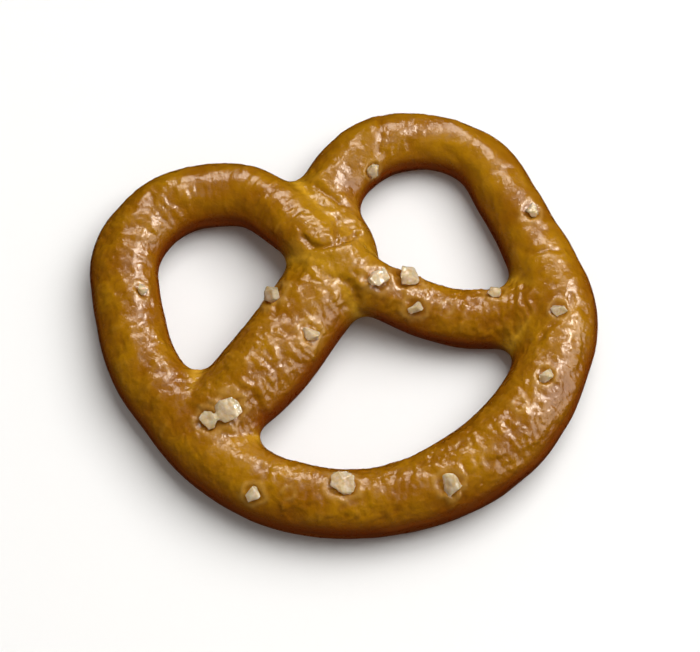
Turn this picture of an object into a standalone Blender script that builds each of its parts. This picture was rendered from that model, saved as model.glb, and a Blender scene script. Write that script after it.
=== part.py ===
"""A small hard-baked salted pretzel, lying on the flat face that sat on the oven belt.

One rope of dough is laid in three arcs, two lobes and an arch. Its two ends cross once in a
knot between the lobes, and each end is pressed onto the arch. Baking fuses all of it into
one body, with webs where strands meet, and coarse salt is baked into its upper side.

The origin is under the middle of the pretzel, on the belt face. +X runs along its width,
+Y from the arch to the lobes, and +Z up.
"""

import math
import random

import bmesh
import bpy
from mathutils import Matrix, Vector

MM = 0.001

# Arcs of the rope's centreline in plan, each as centre x and y, and radius along x and y
LEFT_LOBE = (-10.9, 7.4, 9.1, 9.1)
RIGHT_LOBE = (9.7, 9.0, 9.0, 8.6)
ARCH = (1.0, -0.9, 19.8, 18.6)

# Places that the rope passes through in plan
LEFT_SIDE = (-20.1, 0.8)
KNOT_UNDER = (1.6, 6.3)
KNOT_OVER = (1.6, 3.8)
LEFT_END = (-15.7, -8.3)
RIGHT_END = (20.3, -3.9)
LEFT_ARM_BOW = -0.8
RIGHT_ARM_BOW = -2.1

# Heights of the centreline above the one that lies on the belt
KNOT_LIFT = 3.0
END_LIFT = 0.9

# Rope thickness against the share of its length, from the left end to the right end
THICKNESS = (
    (0.00, 7.4), (0.05, 8.9), (0.09, 8.7), (0.13, 7.2), (0.16, 6.7), (0.19, 6.6), (0.24, 5.7),
    (0.29, 6.6), (0.37, 7.9), (0.44, 8.2), (0.53, 7.2), (0.62, 7.3), (0.70, 7.2), (0.78, 6.8),
    (0.84, 6.2), (0.90, 5.7), (1.00, 6.5),
)
BELT_PRESS = 0.14  # share of the rope's radius that the belt has flattened

# Baking
WEB = 0.9  # radius of the fillets between strands that meet
VOXEL = 0.45
SETTLING = 8  # rounds of smoothing that take the voxels' steps away
UNEVENNESS = 0.35
UNEVEN_SCALE = 5.5
DOUGH_TRIANGLES = 9000

# Salt grains: share of the rope's length, degrees round from the top to its right, and size
SALT = (
    (0.009, 20, 2.4), (0.069, 34, 1.9), (0.080, -48, 2.2), (0.186, 54, 1.4), (0.304, -16, 1.7),
    (0.364, 3, 1.5), (0.403, -2, 1.6), (0.478, -24, 2.0), (0.530, 12, 2.3), (0.575, -38, 1.6),
    (0.615, 22, 1.9), (0.703, 27, 1.3), (0.900, -2, 2.2), (0.915, -32, 2.4), (0.924, 26, 1.7),
    (0.969, -37, 1.6),
)
SALT_SUNK = 0.32  # share of a grain's size that lies under the crust
SALT_CORNERS = 16
SALT_BLOCKINESS = 0.6  # 0 draws a grain's corners from a ball, 1 from a cube
SALT_SEED = 7

SPAN_STEPS = 8
ROPE_SIDES = 5  # bevel resolution, which gives 14 sides


def clear_scene():
    for obj in list(bpy.data.objects):
        bpy.data.objects.remove(obj, do_unlink=True)


def new_collection(name):
    collection = bpy.data.collections.new(name)
    bpy.context.scene.collection.children.link(collection)
    return collection


def crust_material():
    material = bpy.data.materials.new("baked_crust")
    material.use_nodes = True
    shader = material.node_tree.nodes["Principled BSDF"]
    shader.inputs["Base Color"].default_value = (0.36, 0.13, 0.012, 1.0)
    shader.inputs["Roughness"].default_value = 0.38
    shader.inputs["Metallic"].default_value = 0.0
    return material


def arc(oval, start, end, count):
    """Points along an oval in plan, from one angle in degrees to the other, on the belt."""
    x, y, radius_x, radius_y = oval
    points = []
    for step in range(count):
        angle = math.radians(start + (end - start) * step / (count - 1))
        points.append(Vector((x + radius_x * math.cos(angle), y + radius_y * math.sin(angle), 0)))
    return points


def strand(start, end, bow, shares, lifts):
    """Points between two places in plan, bowed to the left of the way and raised off the belt."""
    start, end = Vector(start), Vector(end)
    side = Vector((-(end - start).y, (end - start).x)).normalized()
    points = []
    for share, lift in zip(shares, lifts):
        place = start.lerp(end, share) + side * bow * math.sin(math.pi * share)
        points.append(Vector((place.x, place.y, lift)))
    return points


def stations():
    """The rope's centreline in order: left arm, right lobe, arch, left lobe, right arm."""
    left_lifts = (END_LIFT, 0.3 * END_LIFT, 0.0, 0.0, 0.0)
    left_arm = strand(LEFT_END, KNOT_UNDER, LEFT_ARM_BOW, (0.0, 0.25, 0.5, 0.78, 1.0), left_lifts)
    right_lobe = arc(RIGHT_LOBE, 162, 5, 6)
    arch = arc(ARCH, -5, -168, 8)
    left_side = [Vector((*LEFT_SIDE, 0.0))]
    left_lobe = arc(LEFT_LOBE, 184, 44, 6)
    left_lobe[-1].z = 0.35 * KNOT_LIFT
    right_lifts = (KNOT_LIFT, 0.5 * KNOT_LIFT, 0.1 * KNOT_LIFT, 0.1 * END_LIFT, END_LIFT)
    right_arm = strand(KNOT_OVER, RIGHT_END, RIGHT_ARM_BOW, (0.0, 0.26, 0.5, 0.76, 1.0), right_lifts)
    return left_arm + right_lobe + arch + left_side + left_lobe + right_arm


def between(a, b, c, d, share):
    """A point on the Catmull-Rom curve from b to c."""
    return 0.5 * (
        2 * b
        + (c - a) * share
        + (2 * a - 5 * b + 4 * c - d) * share**2
        + (3 * b - a - 3 * c + d) * share**3
    )


def centreline():
    """The stations joined by one smooth line, in millimetres."""
    points = stations()
    line = []
    for i in range(len(points) - 1):
        a, d = points[max(i - 1, 0)], points[min(i + 2, len(points) - 1)]
        for step in range(SPAN_STEPS):
            line.append(between(a, points[i], points[i + 1], d, step / SPAN_STEPS))
    line.append(points[-1])
    return line


def shares_of(line):
    """How far along the rope each point lies, from 0 to 1."""
    lengths = [0.0]
    for a, b in zip(line, line[1:]):
        lengths.append(lengths[-1] + (b - a).length)
    return [length / lengths[-1] for length in lengths]


def radius_at(share):
    for (low, thin), (high, thick) in zip(THICKNESS, THICKNESS[1:]):
        if share <= high:
            way = (share - low) / (high - low)
            way = way * way * (3 - 2 * way)
            return 0.5 * (thin + (thick - thin) * way)
    return 0.5 * THICKNESS[-1][1]


def rope_points():
    """The centreline at its height on the belt, with the rope's radius at each point."""
    line = centreline()
    shares = shares_of(line)
    points = []
    for place, share in zip(line, shares):
        radius = radius_at(share)
        points.append((place + Vector((0, 0, (1 - BELT_PRESS) * radius)), radius, share))
    return points


def mesh_of(obj, name):
    """A new mesh from an object as its modifiers leave it, in world space."""
    graph = bpy.context.evaluated_depsgraph_get()
    mesh = bpy.data.meshes.new_from_object(obj.evaluated_get(graph))
    mesh.transform(obj.matrix_world)
    mesh.name = name
    return mesh


def rope_mesh(points):
    """The raw rope as a tube that is thicker by the web, with its caps welded."""
    curve = bpy.data.curves.new("rope", "CURVE")
    curve.dimensions = "3D"
    curve.bevel_depth = MM
    curve.bevel_resolution = ROPE_SIDES
    curve.use_fill_caps = True
    spline = curve.splines.new("POLY")
    spline.points.add(len(points) - 1)
    for point, (place, radius, _) in zip(spline.points, points):
        point.co = (*(place * MM), 1.0)
        point.radius = radius + WEB
    obj = bpy.data.objects.new("rope", curve)
    bpy.context.scene.collection.objects.link(obj)
    bpy.context.view_layer.update()
    mesh = mesh_of(obj, "dough")
    bpy.data.objects.remove(obj, do_unlink=True)
    work = bmesh.new()
    work.from_mesh(mesh)
    bmesh.ops.remove_doubles(work, verts=work.verts, dist=0.01 * MM)
    work.to_mesh(mesh)
    work.free()
    return mesh


def add_remesh(obj):
    remesh = obj.modifiers.new("fuse", "REMESH")
    remesh.mode = "VOXEL"
    remesh.voxel_size = VOXEL * MM
    remesh.use_smooth_shade = True


def add_displace(obj, name, strength, texture=None):
    displace = obj.modifiers.new(name, "DISPLACE")
    displace.strength = strength * MM
    displace.direction = "NORMAL"
    displace.texture_coords = "GLOBAL"
    displace.texture = texture
    displace.mid_level = 0.5 if texture else 0.0


def add_smooth(obj, rounds):
    smooth = obj.modifiers.new("settle", "SMOOTH")
    smooth.factor = 0.5
    smooth.iterations = rounds


def uneven_texture():
    texture = bpy.data.textures.new("uneven_dough", "CLOUDS")
    texture.noise_scale = UNEVEN_SCALE * MM
    texture.noise_depth = 1
    return texture


def bake_dough(obj):
    """Fuses the strands. The rope was made thicker by the web, so that shrinking it back
    leaves a fillet of that radius between strands that meet."""
    add_remesh(obj)
    add_displace(obj, "shrink", -WEB)
    add_remesh(obj)
    add_smooth(obj, SETTLING)
    add_displace(obj, "uneven", UNEVENNESS, uneven_texture())
    mesh = mesh_of(obj, "dough")
    obj.modifiers.clear()
    obj.data = mesh


def simplify(obj, triangles):
    decimate = obj.modifiers.new("simplify", "DECIMATE")
    obj.data.calc_loop_triangles()
    decimate.ratio = min(1.0, triangles / len(obj.data.loop_triangles))
    mesh = mesh_of(obj, "dough")
    obj.modifiers.clear()
    obj.data = mesh


def apply_boolean(obj, operation, cutter=None, collection=None):
    boolean = obj.modifiers.new(operation.lower(), "BOOLEAN")
    boolean.operation = operation
    boolean.solver = "EXACT"
    if collection:
        boolean.operand_type = "COLLECTION"
        boolean.collection = collection
    else:
        boolean.object = cutter
    mesh = mesh_of(obj, obj.data.name)
    obj.modifiers.clear()
    obj.data = mesh


def cut_belt_face(obj):
    """Takes away what the belt flattened, and leaves one plane at z = 0."""
    block = bpy.data.meshes.new("belt")
    work = bmesh.new()
    bmesh.ops.create_cube(work, size=100 * MM)
    bmesh.ops.translate(work, verts=work.verts, vec=(0, 0, -50 * MM))
    work.to_mesh(block)
    work.free()
    belt = bpy.data.objects.new("belt", block)
    bpy.context.scene.collection.objects.link(belt)
    apply_boolean(obj, "DIFFERENCE", cutter=belt)
    bpy.data.objects.remove(belt, do_unlink=True)


def grain_mesh(size, rng):
    """A chip of coarse salt: the hull of a few corners spread over a blocky ball."""
    work = bmesh.new()
    for _ in range(SALT_CORNERS):
        way = Vector((rng.gauss(0, 1), rng.gauss(0, 1), rng.gauss(0, 1))).normalized()
        reach = 0.5 * size / max(abs(part) for part in way) ** SALT_BLOCKINESS
        work.verts.new(way * reach * MM)
    hull = bmesh.ops.convex_hull(work, input=work.verts)
    bmesh.ops.delete(work, geom=hull["geom_interior"], context="VERTS")
    bmesh.ops.recalc_face_normals(work, faces=work.faces)
    mesh = bpy.data.meshes.new("salt")
    work.to_mesh(mesh)
    work.free()
    return mesh


def add_salt(collection, dough, points):
    """Lays each grain on the crust, part sunk in it, at its place along and round the rope."""
    rng = random.Random(SALT_SEED)
    for share, degrees, size in SALT:
        index = min(range(1, len(points) - 1), key=lambda i: abs(points[i][2] - share))
        place, radius, _ = points[index]
        ahead = (points[index + 1][0] - points[index - 1][0]).normalized()
        right = ahead.cross(Vector((0, 0, 1))).normalized()
        angle = math.radians(degrees)
        outward = right.cross(ahead) * math.cos(angle) + right * math.sin(angle)
        _, spot, normal, _ = dough.closest_point_on_mesh((place + outward * radius) * MM)
        grain = bpy.data.objects.new("grain", grain_mesh(size, rng))
        turn = normal.to_track_quat("Z", "Y").to_matrix().to_4x4()
        spin = Matrix.Rotation(rng.uniform(0, math.tau), 4, "Z")
        squash = Matrix.Diagonal((rng.uniform(0.9, 1.1), rng.uniform(0.75, 1.0), 0.8, 1.0))
        raised = normal * (0.4 - SALT_SUNK) * size * MM
        grain.matrix_world = Matrix.Translation(spot + raised) @ turn @ spin @ squash
        collection.objects.link(grain)


def centre_on_origin(obj):
    """Moves the mesh so that the middle of its plan is the origin."""
    xs = [vertex.co.x for vertex in obj.data.vertices]
    ys = [vertex.co.y for vertex in obj.data.vertices]
    middle = Vector(((min(xs) + max(xs)) / 2, (min(ys) + max(ys)) / 2, 0))
    obj.data.transform(Matrix.Translation(-middle))
    return middle


def main():
    clear_scene()
    parts = new_collection("pretzel")
    salt = new_collection("salt")
    points = rope_points()
    pretzel = bpy.data.objects.new("pretzel", rope_mesh(points))
    parts.objects.link(pretzel)
    bpy.context.view_layer.update()
    bake_dough(pretzel)
    simplify(pretzel, DOUGH_TRIANGLES)
    cut_belt_face(pretzel)
    add_salt(salt, pretzel, points)
    bpy.context.view_layer.update()
    apply_boolean(pretzel, "UNION", collection=salt)
    for grain in list(salt.objects):
        bpy.data.objects.remove(grain, do_unlink=True)
    bpy.data.collections.remove(salt)
    centre_on_origin(pretzel)
    pretzel.data.name = "pretzel"
    pretzel.data.materials.clear()
    pretzel.data.materials.append(crust_material())
    pretzel.data.shade_smooth()


main()
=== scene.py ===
"""A small hard-baked salted pretzel, as it lies on the table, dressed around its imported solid."""

import math
import random

import bpy
import numpy as np
from mathutils import Matrix, Vector, noise


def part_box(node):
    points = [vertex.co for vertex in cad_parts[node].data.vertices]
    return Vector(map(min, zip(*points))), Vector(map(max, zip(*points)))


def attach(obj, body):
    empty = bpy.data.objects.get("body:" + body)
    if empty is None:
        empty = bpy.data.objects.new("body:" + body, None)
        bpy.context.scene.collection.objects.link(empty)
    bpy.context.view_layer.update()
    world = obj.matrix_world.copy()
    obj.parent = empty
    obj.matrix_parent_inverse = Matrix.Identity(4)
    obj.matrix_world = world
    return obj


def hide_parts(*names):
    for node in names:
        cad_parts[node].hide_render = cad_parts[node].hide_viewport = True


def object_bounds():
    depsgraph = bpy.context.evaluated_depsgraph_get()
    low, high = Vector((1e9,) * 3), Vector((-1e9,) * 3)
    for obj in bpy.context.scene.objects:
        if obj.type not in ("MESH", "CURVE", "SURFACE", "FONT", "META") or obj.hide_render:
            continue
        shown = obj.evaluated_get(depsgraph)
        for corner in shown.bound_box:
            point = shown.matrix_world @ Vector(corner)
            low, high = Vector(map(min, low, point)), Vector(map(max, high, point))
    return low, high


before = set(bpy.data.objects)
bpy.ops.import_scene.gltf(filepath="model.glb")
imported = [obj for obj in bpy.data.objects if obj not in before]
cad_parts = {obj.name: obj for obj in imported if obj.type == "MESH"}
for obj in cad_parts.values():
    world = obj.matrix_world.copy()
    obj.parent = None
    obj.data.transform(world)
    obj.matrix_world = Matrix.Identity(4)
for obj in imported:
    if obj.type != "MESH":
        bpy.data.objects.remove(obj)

cad_low, cad_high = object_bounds()
bpy.ops.object.select_all(action="DESELECT")

# The dough
# One rope of wheat dough, rolled by a machine, laid in two lobes and an arch, crossed once in a
# knot and pressed together where its ends meet the arch. The oven fuses it into one body that
# is flat where it lay on the belt. Sizes are in millimetres, as in the solid.
MM = 0.001
LEFT_LOBE = (-10.9, 7.4, 9.1, 9.1)  # centre x and y, radius along x and y
RIGHT_LOBE = (9.7, 9.0, 9.0, 8.6)
ARCH = (1.0, -0.9, 19.8, 18.6)
LEFT_SIDE = (-20.1, 0.8)
KNOT_UNDER = (1.6, 6.3)
KNOT_OVER = (1.6, 3.8)
LEFT_END = (-15.7, -8.3)
RIGHT_END = (20.3, -3.9)
LEFT_ARM_BOW = -0.8
RIGHT_ARM_BOW = -2.1
KNOT_LIFT = 3.0
END_LIFT = 0.9
THICKNESS = (  # against the share of the rope's length, from the left end to the right end
    (0.00, 7.4), (0.05, 8.9), (0.09, 8.7), (0.13, 7.2), (0.16, 6.7), (0.19, 6.6), (0.24, 5.7),
    (0.29, 6.6), (0.37, 7.9), (0.44, 8.2), (0.53, 7.2), (0.62, 7.3), (0.70, 7.2), (0.78, 6.8),
    (0.84, 6.2), (0.90, 5.7), (1.00, 6.5),
)
BELT_PRESS = 0.14  # share of the rope's radius that lies below the belt's face
WEB = 0.9  # how much thicker the rope is made, to fuse it
FUSING_VOXEL = 0.45
UNEVENNESS = 0.35
UNEVEN_SCALE = 5.5
STEPS_BETWEEN = 8  # of the rope's line, between two stations
ROUND_STEPS = 5  # of the rope's section
SKIN_VOXEL = 0.235  # fine enough for the skin's wrinkles, and under 200,000 triangles


def arc(oval, start, end, count):
    """Places along an oval, from a start angle to an end angle in degrees."""
    x, y, radius_x, radius_y = oval
    turns = [math.radians(start + (end - start) * step / (count - 1)) for step in range(count)]
    return [Vector((x + radius_x * math.cos(t), y + radius_y * math.sin(t), 0)) for t in turns]


def strand(start, end, bow, shares, lifts):
    """Places along a bowed arm, at shares of its length, each lifted off the belt."""
    start, end = Vector(start), Vector(end)
    side = Vector((-(end - start).y, (end - start).x)).normalized()
    places = [start.lerp(end, share) + side * bow * math.sin(math.pi * share) for share in shares]
    return [Vector((place.x, place.y, lift)) for place, lift in zip(places, lifts)]


def rope_stations():
    """The rope's course from its left end to its right end, with each strand's lift."""
    left_lifts = (END_LIFT, 0.3 * END_LIFT, 0.0, 0.0, 0.0)
    left_arm = strand(LEFT_END, KNOT_UNDER, LEFT_ARM_BOW, (0.0, 0.25, 0.5, 0.78, 1.0), left_lifts)
    right_lobe = arc(RIGHT_LOBE, 162, 5, 6)
    arch = arc(ARCH, -5, -168, 8)
    left_side = [Vector((*LEFT_SIDE, 0.0))]
    left_lobe = arc(LEFT_LOBE, 184, 44, 6)
    left_lobe[-1].z = 0.35 * KNOT_LIFT
    right_lifts = (KNOT_LIFT, 0.5 * KNOT_LIFT, 0.1 * KNOT_LIFT, 0.1 * END_LIFT, END_LIFT)
    right_arm = strand(KNOT_OVER, RIGHT_END, RIGHT_ARM_BOW, (0.0, 0.26, 0.5, 0.76, 1.0), right_lifts)
    return left_arm + right_lobe + arch + left_side + left_lobe + right_arm


def smooth_line(stations, steps):
    """The Catmull-Rom curve through the stations."""
    line = []
    for i in range(len(stations) - 1):
        b, c = stations[i], stations[i + 1]
        a, d = stations[max(i - 1, 0)], stations[min(i + 2, len(stations) - 1)]
        for step in range(steps):
            s = step / steps
            bend = (2 * a - 5 * b + 4 * c - d) * s**2 + (3 * b - a - 3 * c + d) * s**3
            line.append(0.5 * (2 * b + (c - a) * s + bend))
    return line + [stations[-1]]


def rope_radius(share):
    """Half the rope's thickness at a share of its length, eased between the table's rows."""
    for (low, thin), (high, thick) in zip(THICKNESS, THICKNESS[1:]):
        if share <= high:
            way = (share - low) / (high - low)
            return 0.5 * (thin + (thick - thin) * way * way * (3 - 2 * way))
    return 0.5 * THICKNESS[-1][1]


def apply_modifier(piece, kind, **settings):
    """Adds a modifier to the active piece and applies it."""
    modifier = piece.modifiers.new(kind.lower(), kind)
    for name, value in settings.items():
        setattr(modifier, name, value)
    bpy.ops.object.modifier_apply(modifier=modifier.name)


def fuse(piece, voxel):
    """Joins what overlaps into one skin of even cells, sized in millimetres."""
    apply_modifier(piece, "REMESH", mode="VOXEL", voxel_size=voxel * MM, use_smooth_shade=True)


def select_only(piece):
    bpy.ops.object.select_all(action="DESELECT")
    piece.select_set(True)
    bpy.context.view_layer.objects.active = piece


rope_line = smooth_line(rope_stations(), STEPS_BETWEEN)
rope_lengths = np.cumsum([0.0] + [(b - a).length for a, b in zip(rope_line, rope_line[1:])])
rope_radii = np.array([rope_radius(length / rope_lengths[-1]) for length in rope_lengths])
rope_places = np.array(rope_line)
rope_places[:, 2] += (1 - BELT_PRESS) * rope_radii

bpy.ops.curve.primitive_nurbs_path_add()
crust = bpy.context.object
crust.name = "crust"
crust.data.splines.clear()
crust.data.bevel_depth = MM
crust.data.bevel_resolution = ROUND_STEPS
crust.data.use_fill_caps = True
rope_spline = crust.data.splines.new("POLY")
rope_spline.points.add(len(rope_places) - 1)
for point, place, radius in zip(rope_spline.points, rope_places, rope_radii):
    point.co = (*(place * MM), 1.0)
    point.radius = radius + WEB
bpy.ops.object.convert(target="MESH")
bpy.ops.object.mode_set(mode="EDIT")
bpy.ops.mesh.select_all(action="SELECT")
bpy.ops.mesh.remove_doubles(threshold=0.01 * MM)
bpy.ops.object.mode_set(mode="OBJECT")

# The rope is thicker by the web, so shrinking it back leaves fillets where strands meet.
fuse(crust, FUSING_VOXEL)
apply_modifier(crust, "DISPLACE", strength=-WEB * MM, mid_level=0.0)
fuse(crust, FUSING_VOXEL)
apply_modifier(crust, "SMOOTH", factor=0.5, iterations=8)
uneven_dough = bpy.data.textures.new("uneven_dough", "CLOUDS")
uneven_dough.noise_scale = UNEVEN_SCALE * MM
uneven_dough.noise_depth = 1
apply_modifier(
    crust, "DISPLACE", strength=UNEVENNESS * MM, mid_level=0.5, texture=uneven_dough,
    texture_coords="GLOBAL",
)
fuse(crust, SKIN_VOXEL)
apply_modifier(crust, "SMOOTH", factor=0.5, iterations=6)

# The belt's face: what lies below it is pressed flat, and the middle comes over the origin.
for vertex in crust.data.vertices:
    vertex.select = vertex.co.z < 0
for part in (*crust.data.edges, *crust.data.polygons):
    part.select = False
bpy.ops.object.mode_set(mode="EDIT")
bpy.ops.transform.resize(value=(1, 1, 0), center_override=(0, 0, 0))
bpy.ops.object.mode_set(mode="OBJECT")
dough = np.empty(len(crust.data.vertices) * 3)
crust.data.vertices.foreach_get("co", dough)
dough = dough.reshape(-1, 3)
cad_box = np.array(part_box("pretzel"))
shift = (cad_box.sum(0) - dough.min(0) - dough.max(0)) / 2
shift[2] = 0.0
crust.data.transform(Matrix.Translation(shift))
dough = (dough + shift) / MM
rope_places += shift / MM

# Where each place on the skin lies: along the rope and round it, in millimetres, how near the
# next strand is, whether it is part of the web between them, and which way it faces.
normals = np.empty(len(crust.data.vertices) * 3)
crust.data.vertices.foreach_get("normal", normals)
normals = normals.reshape(-1, 3)
ahead = np.gradient(rope_places, axis=0)
ahead /= np.linalg.norm(ahead, axis=1)[:, None]
right = np.cross(ahead, (0, 0, 1))
right /= np.linalg.norm(right, axis=1)[:, None]
above = np.cross(right, ahead)
along, around, meeting, web = (np.empty(len(dough)) for _ in range(4))
APART = 14.0  # strands closer than this along the rope are one and the same
FAR = 99.0
WEB_REACH = 2.4
WEB_FILLET = 0.4 * WEB  # how far a full web stands off the rope that it fills beside
END_REACH = 5.0  # the rope's round ends sink into the arch and leave no web beyond them
END_SINK = 1.5 * WEB_REACH
BLOCK = 4000  # places at a time, to keep the arrays small
to_end = np.minimum(rope_lengths, rope_lengths[-1] - rope_lengths)
sunk = END_SINK * np.clip(1 - to_end / END_REACH, 0, 1)
for first in range(0, len(dough), BLOCK):
    block = slice(first, first + BLOCK)
    offsets = dough[block, None, :] - rope_places[None, :, :]
    gaps = np.linalg.norm(offsets, axis=2) - rope_radii
    nearest = gaps.argmin(1)
    rows = np.arange(len(nearest))
    out = offsets[rows, nearest]
    along[block] = rope_lengths[nearest] + (out * ahead[nearest]).sum(1)
    turn = np.arctan2((out * right[nearest]).sum(1), (out * above[nearest]).sum(1))
    around[block] = turn * rope_radii[nearest]
    elsewhere = np.abs(rope_lengths[None, :] - rope_lengths[nearest][:, None]) > APART
    other = np.where(elsewhere, gaps + sunk, FAR).min(1) + sunk[nearest]
    meeting[block] = np.clip(1 - other / WEB_REACH, 0, 1)
    web[block] = meeting[block] * np.clip(gaps[rows, nearest] / WEB_FILLET, 0, 1)


def ease(values, low, high):
    """Rises smoothly from 0 at low to 1 at high."""
    share = np.clip((values - low) / (high - low), 0, 1)
    return share * share * (3 - 2 * share)


CROWN_TURN = (0.15, 0.8)  # how far up the skin faces, where the crown starts and is full
FLANK_TURN = (0.0, 0.85)
UNDERSIDE_TURN = (-0.9, -0.1)
BELT_HEIGHTS = (0.05, 0.8)  # the belt keeps the skin smooth below, and lets it be above
WEB_HEIGHTS = (2.0, 5.0)  # the foot of a web keeps the walls' darker amber, part of it painted shade
crown = ease(normals[:, 2], *CROWN_TURN)
flank = 1 - ease(normals[:, 2], *FLANK_TURN)
underside = 1 - ease(normals[:, 2], *UNDERSIDE_TURN)
off_belt = ease(dough[:, 2], *BELT_HEIGHTS)
web *= ease(dough[:, 2], *WEB_HEIGHTS)
WRINKLING = (  # against the share of the rope: smooth where it was drawn tight over the lobes
    (0.00, 0.9), (0.10, 0.9), (0.16, 0.6), (0.19, 0.35), (0.26, 0.15), (0.32, 0.25), (0.38, 0.7),
    (0.45, 0.9), (0.58, 0.7), (0.68, 0.6), (0.74, 0.7), (0.78, 0.3), (0.82, 0.2), (0.87, 0.6),
    (0.93, 1.0), (1.00, 0.9),
)
wrinkling = np.interp(along / rope_lengths[-1], *zip(*WRINKLING))
CROSS_WRINKLES = ((0.70, 0.80), (0.83, 0.90))  # shares of the rope where it bends
BEND_FALL = 1.6  # how fast the folds fade towards a bend's ends
bends = np.zeros(len(dough))
for start, end in CROSS_WRINKLES:
    off_middle = (along / rope_lengths[-1] - 0.5 * (start + end)) / (end - start)
    bends += np.exp(-((off_middle * BEND_FALL) ** 2))

# Coarse salt falls on the wet dough before baking, and each grain dries and sinks in a shallow
# crater with a raised rim. Grains that later fell off or melted leave only their rings.
SALT = (  # share of the rope's length, degrees from the top to the rope's right, size in mm
    (0.009, 20, 2.4), (0.069, 34, 1.9), (0.080, -48, 2.2), (0.186, 54, 1.4), (0.304, -16, 1.7),
    (0.364, 3, 1.5), (0.403, -2, 1.6), (0.478, -24, 2.0), (0.530, 12, 2.3), (0.575, -38, 1.6),
    (0.615, 22, 1.9), (0.703, 27, 1.3), (0.900, -2, 2.2), (0.915, -32, 2.4), (0.924, 26, 1.7),
    (0.969, -37, 1.6),
)
LOST_SALT = (  # share, degrees, size of the ring in mm
    (0.378, -30, 1.3), (0.425, 6, 1.7), (0.462, 20, 1.5), (0.560, -16, 1.5), (0.652, 10, 1.7),
    (0.941, 6, 1.6),
)
CRATER_DEPTH = 0.14
CRATER_WALL = (0.8, 1.35)  # in radii of the grain, from the floor's edge to the wall's top
RIM_RADIUS, RIM_BREADTH, RIM_HEIGHT = 1.4, 0.3, 0.07  # the height is in mm
RING_RADIUS, RING_BREADTH = 0.95, 0.25  # in radii of the grain that was there
RING_WHOLENESS, RING_BREAKS = 0.6, 1.4
PIT_DEPTH = 0.3 * CRATER_DEPTH  # of a crater that has lost its grain
PIT_WALL = (0.2, 0.8)
RAGGEDNESS = 0.3
WOBBLE_SPACING = 0.9
wobble = np.array([noise.noise(Vector(place) / WOBBLE_SPACING) for place in dough])


def skin_spot(share, degrees):
    """The place on the skin at a share of the rope and an angle from its top, and its normal."""
    index = 1 + np.abs(rope_lengths[1:-1] / rope_lengths[-1] - share).argmin()
    angle = math.radians(degrees)
    outward = above[index] * math.cos(angle) + right[index] * math.sin(angle)
    place = Vector((rope_places[index] + outward * rope_radii[index]) * MM)
    _, spot, normal, _ = crust.closest_point_on_mesh(place)
    return spot, normal


def reach_of(marks):
    """How far each place on the skin is from the nearest mark, in radii of that mark."""
    reach = np.full(len(dough), FAR)
    for share, degrees, size in marks:
        spot = np.array(skin_spot(share, degrees)[0]) / MM
        reach = np.minimum(reach, np.linalg.norm(dough - spot, axis=1) / (size / 2))
    return reach


salt_seats = {share: skin_spot(share, degrees) for share, degrees, _ in SALT}
salt_reach = reach_of(SALT) * (1 + RAGGEDNESS * wobble)
ring_reach = reach_of(LOST_SALT) * (1 + RAGGEDNESS * wobble)
crater = 1 - ease(salt_reach, *CRATER_WALL)
salt_rim = np.exp(-(((salt_reach - RIM_RADIUS) / RIM_BREADTH) ** 2))
ring = np.exp(-(((ring_reach - RING_RADIUS) / RING_BREADTH) ** 2))
ring *= np.clip(RING_WHOLENESS + RING_BREAKS * wobble, 0, 1)
dents = RIM_HEIGHT * (salt_rim + ring) - CRATER_DEPTH * crater
dents -= PIT_DEPTH * (1 - ease(ring_reach, *PIT_WALL))

# Creases pressed where the strands cross and meet: each drops steeply on its left, as its
# places run, and rises slowly to a rolled lip on its right.
CREASES = (  # depth in mm, then plan places in mm
    (0.42, (-2.4, 8.9), (-2.0, 7.9), (-0.9, 7.3), (0.1, 7.3), (1.8, 7.8), (2.6, 8.5)),
    (0.22, (2.7, 11.8), (2.2, 12.1), (1.5, 12.9), (0.8, 13.8), (0.2, 14.8)),
    (0.22, (1.4, 10.5), (1.2, 9.8), (1.0, 9.0), (0.7, 7.7)),
    (0.24, (1.1, 1.6), (0.9, 2.4), (0.5, 3.1), (-0.4, 3.8), (-1.0, 4.1)),
    (0.18, (2.4, 2.8), (2.0, 3.1), (1.2, 3.9)),
    (0.12, (18.3, 3.0), (18.8, 2.6), (20.1, 2.5), (21.7, 2.2), (22.6, 2.4)),
    (0.22, (-9.9, -9.2), (-10.3, -8.0), (-10.8, -7.0), (-11.2, -6.0)),
    (0.16, (17.0, -6.9), (17.5, -6.2), (18.6, -5.6), (19.9, -5.0), (21.0, -4.0), (21.2, -3.0)),
    (0.14, (8.2, 20.6), (7.9, 18.9), (7.3, 17.0)),
)
CREASE_PROFILE = (  # mm across, height as a share of the depth
    (-0.5, 0.0), (-0.3, 0.1), (0.0, -1.0), (0.7, 0.5), (1.1, 0.4), (1.9, 0.0),
)
CREASE_WOBBLE = 0.15
CREASE_TURN = (0.1, 0.5)  # how far up the skin faces where a crease fades in
for depth, *places in CREASES:
    across = np.full(len(dough), FAR)
    for start, end in zip(places, places[1:]):
        start, step = np.array(start), np.subtract(end, start)
        offset = dough[:, :2] - start
        share = np.clip(offset @ step / (step @ step), 0, 1)
        gap = np.linalg.norm(offset - share[:, None] * step, axis=1)
        side = np.where(offset[:, 0] * step[1] > offset[:, 1] * step[0], 1, -1)
        across = np.where(gap < abs(across), side * gap, across)
    profile = np.interp(across + CREASE_WOBBLE * wobble, *zip(*CREASE_PROFILE))
    dents += depth * profile * ease(normals[:, 2], *CREASE_TURN)

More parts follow.
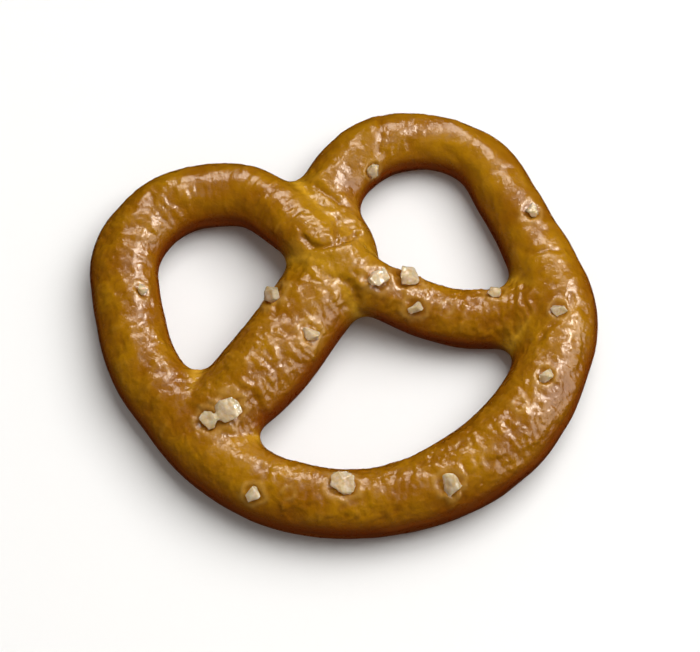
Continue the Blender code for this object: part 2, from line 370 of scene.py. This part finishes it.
SKIN_MAP = {
    "along": along,
    "around": around,
    "flank": flank,
    "underside": underside,
    "meeting": meeting,
    "web": web,
    "ring": ring,
    "salt_rim": salt_rim,
    "off_belt": off_belt,
    "dents": dents,
    "swell": crown * off_belt,
    "crown": crown * off_belt * wrinkling,
    "bends": bends * crown * off_belt * (1 - meeting),
    "walls": flank * off_belt * (1 - meeting),
}
for name, values in SKIN_MAP.items():
    crust.data.attributes.new("skin_" + name, "FLOAT", "POINT").data.foreach_set("value", values)


def add_node(tree, kind, inputs=None, **settings):
    """Adds a node with its settings. Each input is set, or linked from a socket or a node."""
    node = tree.nodes.new(kind)
    for name, value in settings.items():
        setattr(node, name, value)
    for socket, value in (inputs or {}).items():
        if isinstance(value, bpy.types.Node):
            value = next(output for output in value.outputs if output.enabled)
        if isinstance(value, bpy.types.NodeSocket):
            tree.links.new(value, node.inputs[socket])
        else:
            node.inputs[socket].default_value = value
    return node


# The skin's relief, as nodes of a modifier: it dries before the crumb below stops moving, so it
# wrinkles like leather on the crown, folds across the bends and draws out along the walls.
SKIN_LAYERS = (  # where, mapped over, spacing in mm, distortion, folded, height in mm
    ("swell", "object", (2.6, 2.6, 2.6), 0.4, False, 0.55),
    ("crown", "object", (1.2, 1.2, 1.2), 1.2, True, 0.80),
    ("crown", "rope", (0.9, 2.8, 1.0), 0.6, True, 0.80),
    ("bends", "rope", (0.8, 5.0, 1.0), 0.2, True, 0.80),
    ("walls", "rope", (9.0, 0.9, 1.0), 0.1, False, 0.16),
)
SKIN_DETAIL = 1.5
FOLD_MIDDLE = 0.1  # of a wave folded into creases, so that it raises as much as it sinks
INWARD = 0.10  # keeps the skin's high places inside the solid's box
relief = bpy.data.node_groups.new("crust_relief", "GeometryNodeTree")
for in_out in ("INPUT", "OUTPUT"):
    relief.interface.new_socket("Geometry", in_out=in_out, socket_type="NodeSocketGeometry")
group_input = add_node(relief, "NodeGroupInput")
here = {
    name: add_node(
        relief, "GeometryNodeInputNamedAttribute", {"Name": "skin_" + name}, data_type="FLOAT"
    )
    for name in ("along", "around", "swell", "crown", "bends", "walls", "off_belt", "dents")
}
position = add_node(relief, "GeometryNodeInputPosition")
in_mm = add_node(relief, "ShaderNodeVectorMath", {0: position, "Scale": 1 / MM}, operation="SCALE")
rope_map = add_node(relief, "ShaderNodeCombineXYZ", {"X": here["along"], "Y": here["around"]})
maps = {"object": in_mm, "rope": rope_map}
height = here["dents"]
for where, mapped, spacing, distortion, folded, layer_height in SKIN_LAYERS:
    spaced = add_node(
        relief, "ShaderNodeVectorMath", {0: maps[mapped], 1: spacing}, operation="DIVIDE"
    )
    waves = add_node(
        relief, "ShaderNodeTexNoise",
        {"Vector": spaced, "Scale": 1.0, "Detail": SKIN_DETAIL, "Distortion": distortion},
    )
    wave = add_node(relief, "ShaderNodeMath", {0: waves, 1: 0.5}, operation="SUBTRACT")
    if folded:
        wave = add_node(relief, "ShaderNodeMath", {0: wave}, operation="ABSOLUTE")
        wave = add_node(relief, "ShaderNodeMath", {0: wave, 1: FOLD_MIDDLE}, operation="SUBTRACT")
    scaled = add_node(relief, "ShaderNodeMath", {0: wave, 1: layer_height}, operation="MULTIPLY")
    placed = add_node(relief, "ShaderNodeMath", {0: scaled, 1: here[where]}, operation="MULTIPLY")
    height = add_node(relief, "ShaderNodeMath", {0: height, 1: placed}, operation="ADD")
stored = add_node(
    relief, "GeometryNodeStoreNamedAttribute",
    {"Geometry": group_input, "Name": "skin_height", "Value": height},
    data_type="FLOAT", domain="POINT",
)
inward = add_node(relief, "ShaderNodeMath", {0: height, 1: INWARD}, operation="SUBTRACT")
freed = add_node(relief, "ShaderNodeMath", {0: inward, 1: here["off_belt"]}, operation="MULTIPLY")
in_metres = add_node(relief, "ShaderNodeMath", {0: freed, 1: MM}, operation="MULTIPLY")
skin_normal = add_node(relief, "GeometryNodeInputNormal")
push = add_node(
    relief, "ShaderNodeVectorMath", {0: skin_normal, "Scale": in_metres}, operation="SCALE"
)
moved = add_node(relief, "GeometryNodeSetPosition", {"Geometry": stored, "Offset": push})
add_node(relief, "NodeGroupOutput", {"Geometry": moved})
select_only(crust)
apply_modifier(crust, "NODES", node_group=relief)
bpy.ops.object.shade_smooth()


def linear(colour):
    """An sRGB hex colour as linear red, green, blue and alpha."""
    parts = [int(colour[i : i + 2], 16) / 255 for i in (1, 3, 5)]
    return (*[p / 12.92 if p <= 0.04045 else ((p + 0.055) / 1.055) ** 2.4 for p in parts], 1.0)


# Lye-dipped baked crust: sugars browned to gold on the crown and amber on the walls, which are
# darkened further with painted shade; yellow where strands met and stayed pale, brightened with
# painted light in the fillets that lie in shade; and a thin hard gloss that the wrinkles break up.
crust_look = bpy.data.materials.new("lye_baked_crust")
crust_look.use_nodes = True
tree = crust_look.node_tree
crust_shader = tree.nodes["Principled BSDF"]
crust_shader.inputs["IOR"].default_value = 1.5
crust_shader.inputs["Specular IOR Level"].default_value = 0.5
place = add_node(tree, "ShaderNodeTexCoord").outputs["Object"]
skin = {
    name: add_node(tree, "ShaderNodeAttribute", attribute_name="skin_" + name).outputs["Fac"]
    for name in (
        "along", "around", "flank", "underside", "meeting", "web", "ring", "salt_rim", "off_belt",
        "height",
    )
}
rope_place = add_node(tree, "ShaderNodeCombineXYZ", {"X": skin["along"], "Y": skin["around"]})
SKIN_PATTERNS = (  # name, mapped over, spacing in mm, detail, distortion
    ("blush", "object", (4.5, 4.5, 4.5), 2.0, 0.0),
    ("drawn", "rope", (9.0, 0.8, 1.0), 3.0, 0.0),
    ("specks", "object", (0.6, 0.6, 0.6), 4.0, 0.0),
    ("pores", "object", (0.4, 0.4, 0.4), 3.0, 0.6),
)
in_mm = add_node(tree, "ShaderNodeVectorMath", {0: place, "Scale": 1 / MM}, operation="SCALE")
maps = {"object": in_mm, "rope": rope_place}
for name, mapped, spacing, detail, distortion in SKIN_PATTERNS:
    spaced = add_node(tree, "ShaderNodeVectorMath", {0: maps[mapped], 1: spacing}, operation="DIVIDE")
    skin[name] = add_node(
        tree, "ShaderNodeTexNoise",
        {"Vector": spaced, "Scale": 1.0, "Detail": detail, "Distortion": distortion},
    ).outputs["Fac"]
skin["drawn"] = add_node(
    tree, "ShaderNodeMath", {0: skin["drawn"], 1: skin["flank"]}, operation="MULTIPLY"
).outputs[0]
BAKED_DOUGH = "#955D03"
CRUST_COLOURS = (  # what each follows, where it starts and is full, how much of it, the colour
    ("blush", 0.35, 0.65, 1.0, "#AC7606"),
    # Sideways-facing skin turns darker amber: partly the walls' baked tone, partly painted shade that
    # rounds the strands.
    ("flank", 0.0, 1.0, 1.0, "#843502"),
    ("drawn", 0.35, 0.7, 1.0, "#984703"),
    # Downward-facing skin turns darker: painted shade.
    ("underside", 0.0, 1.0, 0.8, "#703603"),
    ("meeting", 0.0, 0.9, 0.7, "#B2800C"),
    # The webs' fillets turn brighter yellow: partly their pale bake, partly painted light where the
    # fillets lie in shade.
    ("web", 0.0, 0.7, 0.8, "#DCA428"),
    # Hollows of the relief, creases and craters turn darker: painted shade.
    ("height", -0.03, -0.16, 0.35, "#743902"),
    # Raised places of the relief turn lighter: painted light.
    ("height", 0.03, 0.14, 0.30, "#C08A28"),
    ("specks", 0.5, 0.75, 0.25, "#7E4A04"),
    ("salt_rim", 0.0, 1.0, 0.35, "#C79A4E"),
    ("ring", 0.0, 1.0, 0.35, "#C79A4E"),
    ("off_belt", 0.5, 0.0, 1.0, "#A06A2A"),
)
colour = linear(BAKED_DOUGH)
for name, start, full, share, shade in CRUST_COLOURS:
    much = add_node(
        tree, "ShaderNodeMapRange",
        {"Value": skin[name], "From Min": start, "From Max": full, "To Max": share},
    )
    colour = add_node(
        tree, "ShaderNodeMix", {"Factor": much, "A": colour, "B": linear(shade)}, data_type="RGBA"
    )
tree.links.new(colour.outputs["Result"], crust_shader.inputs["Base Color"])
GLAZE_ROUGHNESS = 0.12
CRUST_DULLNESS = (  # what each follows, where it starts and is full, how much rougher
    ("specks", 0.3, 0.7, 0.14),
    ("flank", 0.0, 1.0, 0.12),
    ("off_belt", 0.5, 0.0, 0.30),
)
dullness = GLAZE_ROUGHNESS
for name, start, full, more in CRUST_DULLNESS:
    much = add_node(
        tree, "ShaderNodeMapRange",
        {"Value": skin[name], "From Min": start, "From Max": full, "To Max": more},
    )
    dullness = add_node(tree, "ShaderNodeMath", {0: dullness, 1: much}, operation="ADD")
tree.links.new(dullness.outputs[0], crust_shader.inputs["Roughness"])
PORE_DEPTH = 0.05
grain = add_node(
    tree, "ShaderNodeBump", {"Height": skin["pores"], "Strength": 1.0, "Distance": PORE_DEPTH * MM}
)
tree.links.new(grain.outputs["Normal"], crust_shader.inputs["Normal"])
crust.data.materials.clear()
crust.data.materials.append(crust_look)
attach(crust, "root")
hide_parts("pretzel")

# The salt
# Coarse rock salt, pressed and broken into blocky chips. Each grain sits part sunk in its
# crater, at its true size, fused to the crust by the glaze that dried round it.
SALT_SUNK = 0.38  # share of a grain's size that lies below the skin
SALT_CORE = 0.4  # share of its size from its middle to its underside
SALT_REACH = 0.55  # share of its size from its middle to its sides
SALT_SIDES = 7  # of a ball of 16 corners
SALT_BLOCKINESS = 0.6
SALT_LENGTHS, SALT_WIDTHS, SALT_HEIGHT = (0.9, 1.1), (0.8, 1.0), 0.72
salt_rng = random.Random(7)
salt_chips = []
for share, degrees, size in SALT:
    # A ball's few corners are scattered over a blocky ball and wrapped in their hull.
    bpy.ops.mesh.primitive_uv_sphere_add(segments=SALT_SIDES, ring_count=3, radius=MM)
    chip = bpy.context.object
    for corner in chip.data.vertices:
        way = Vector([salt_rng.gauss(0, 1) for _ in range(3)]).normalized()
        blocked = max(abs(part) for part in way) ** SALT_BLOCKINESS
        corner.co = way * SALT_REACH * size * MM / blocked
    bpy.ops.object.mode_set(mode="EDIT")
    bpy.ops.mesh.select_all(action="SELECT")
    bpy.ops.mesh.delete(type="EDGE_FACE")
    bpy.ops.mesh.select_all(action="SELECT")
    bpy.ops.mesh.convex_hull()
    bpy.ops.object.mode_set(mode="OBJECT")
    spot, normal = salt_seats[share]
    turn = normal.to_track_quat("Z", "Y").to_matrix().to_4x4()
    spin = Matrix.Rotation(salt_rng.uniform(0, math.tau), 4, "Z")
    length = salt_rng.uniform(*SALT_LENGTHS)
    width = salt_rng.uniform(*SALT_WIDTHS)
    squash = Matrix.Diagonal((length, width, SALT_HEIGHT, 1.0))
    raised = normal * (SALT_CORE - SALT_SUNK) * size * MM
    chip.data.transform(Matrix.Translation(spot + raised) @ turn @ spin @ squash)
    salt_chips.append(chip)
bpy.ops.object.select_all(action="DESELECT")
for chip in salt_chips:
    chip.select_set(True)
salt = salt_chips[0]
bpy.context.view_layer.objects.active = salt
bpy.ops.object.join()
salt.name = "salt"
SALT_VOXEL = 0.11
SALT_CHIPPING = 0.1
CHIP_SPACING = 0.8
SALT_EDGE = 32  # degrees, past which an edge of a chip stays sharp
fuse(salt, SALT_VOXEL)
chipping = bpy.data.textures.new("salt_chipping", "VORONOI")
chipping.noise_scale = CHIP_SPACING * MM
chipping.distance_metric = "MANHATTAN"
apply_modifier(
    salt, "DISPLACE", strength=-SALT_CHIPPING * MM, mid_level=0.0, texture=chipping,
    texture_coords="LOCAL",
)
bpy.ops.object.shade_smooth_by_angle(angle=math.radians(SALT_EDGE))

# Rock salt: clear inside, but crazed by the oven's heat, so it looks milky and a little yellow.
salt_look = bpy.data.materials.new("baked_rock_salt")
salt_look.use_nodes = True
tree = salt_look.node_tree
salt_shader = tree.nodes["Principled BSDF"]
salt_shader.inputs["IOR"].default_value = 1.54
salt_shader.inputs["Roughness"].default_value = 0.1
salt_shader.inputs["Transmission Weight"].default_value = 0.4
salt_shader.inputs["Subsurface Weight"].default_value = 0.6
salt_shader.inputs["Subsurface Radius"].default_value = (1.0, 0.8, 0.5)
salt_shader.inputs["Subsurface Scale"].default_value = 0.6 * MM
place = add_node(tree, "ShaderNodeTexCoord").outputs["Object"]
CRAZING_SPACING = 0.4
CRAZING_DEPTH = 0.03
crazing = add_node(
    tree, "ShaderNodeTexNoise",
    {"Vector": place, "Scale": 1 / (CRAZING_SPACING * MM), "Detail": 4.0},
)
clouded = add_node(
    tree, "ShaderNodeMapRange", {"Value": crazing, "From Min": 0.35, "From Max": 0.65}
)
milk = add_node(
    tree, "ShaderNodeMix", {"Factor": clouded, "A": linear("#EBD09C"), "B": linear("#FAE7C8")},
    data_type="RGBA",
)
tree.links.new(milk.outputs["Result"], salt_shader.inputs["Base Color"])
chipped = add_node(
    tree, "ShaderNodeBump", {"Height": crazing, "Strength": 1.0, "Distance": CRAZING_DEPTH * MM}
)
tree.links.new(chipped.outputs["Normal"], salt_shader.inputs["Normal"])
salt.data.materials.clear()
salt.data.materials.append(salt_look)
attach(salt, "root")

# The table, the lights and the camera
# A plain white sheet, warm soft lights that glint on the crust from the right and the back, and
# an even light from above that fills without glare.
FLOOR_SIZE = 3.0
FLOOR_DROP = 0.02 * MM  # keeps the sheet and the belt's face apart
bpy.ops.mesh.primitive_plane_add(size=FLOOR_SIZE, location=(0, 0, -FLOOR_DROP))
floor = bpy.context.object
floor.name = "floor"
paper = bpy.data.materials.new("white_paper")
paper.use_nodes = True
paper.node_tree.nodes["Principled BSDF"].inputs["Base Color"].default_value = linear("#FBFAF8")
paper.node_tree.nodes["Principled BSDF"].inputs["Roughness"].default_value = 0.9
floor.data.materials.append(paper)
floor.visible_glossy = False
floor.visible_diffuse = False

middle = (cad_low + cad_high) / 2
LAMPLIGHT = (1.0, 0.93, 0.85)
DAYLIGHT = (1.0, 1.0, 1.0)


def softbox(name, direction, distance, width, power, glare, fill):
    """A square soft light that looks at the pretzel from a direction, to glint or to fill."""
    way = Vector(direction).normalized()
    bpy.ops.object.light_add(type="AREA", location=middle + way * distance)
    light = bpy.context.object
    light.name = name
    light.rotation_euler = way.to_track_quat("Z", "Y").to_euler()
    light.data.size = width
    light.data.energy = power
    light.data.color = LAMPLIGHT if glare else DAYLIGHT
    light.visible_glossy = glare
    light.visible_diffuse = fill


softbox("reflector", (0.70, 0.22, 0.67), 0.60, 0.40, 2.2, True, False)
softbox("window", (0.67, 0.20, 0.70), 0.50, 0.14, 1.3, True, False)
softbox("right_window", (0.88, -0.28, 0.38), 0.50, 0.34, 1.3, True, False)
softbox("back_window", (0.19, 0.74, 0.64), 0.50, 0.20, 1.1, True, False)
softbox("overhead_softbox", (0.42, 0.14, 0.90), 0.60, 0.60, 4.4, False, True)
world = bpy.data.worlds.new("studio")
world.use_nodes = True
world.node_tree.nodes["Background"].inputs["Color"].default_value = (1.0, 0.98, 0.95, 1.0)
world.node_tree.nodes["Background"].inputs["Strength"].default_value = 0.25
world.cycles_visibility.glossy = False
bpy.context.scene.world = world
bpy.context.scene.view_settings.view_transform = "Standard"

AZIMUTH = math.radians(-14.0)
ELEVATION = math.radians(66.0)
LENS = 300.0
SENSOR_WIDTH = 36.0
FRAME_WIDTH = 0.068  # of the scene, across the picture at the pretzel
towards_camera = Vector((
    math.sin(AZIMUTH) * math.cos(ELEVATION),
    -math.cos(AZIMUTH) * math.cos(ELEVATION),
    math.sin(ELEVATION),
))
bpy.ops.object.camera_add(location=middle + towards_camera * FRAME_WIDTH * LENS / SENSOR_WIDTH)
camera = bpy.context.object
camera.data.lens = LENS
camera.rotation_euler = towards_camera.to_track_quat("Z", "Y").to_euler()
camera.data.clip_start = 0.01
bpy.context.scene.camera = camera
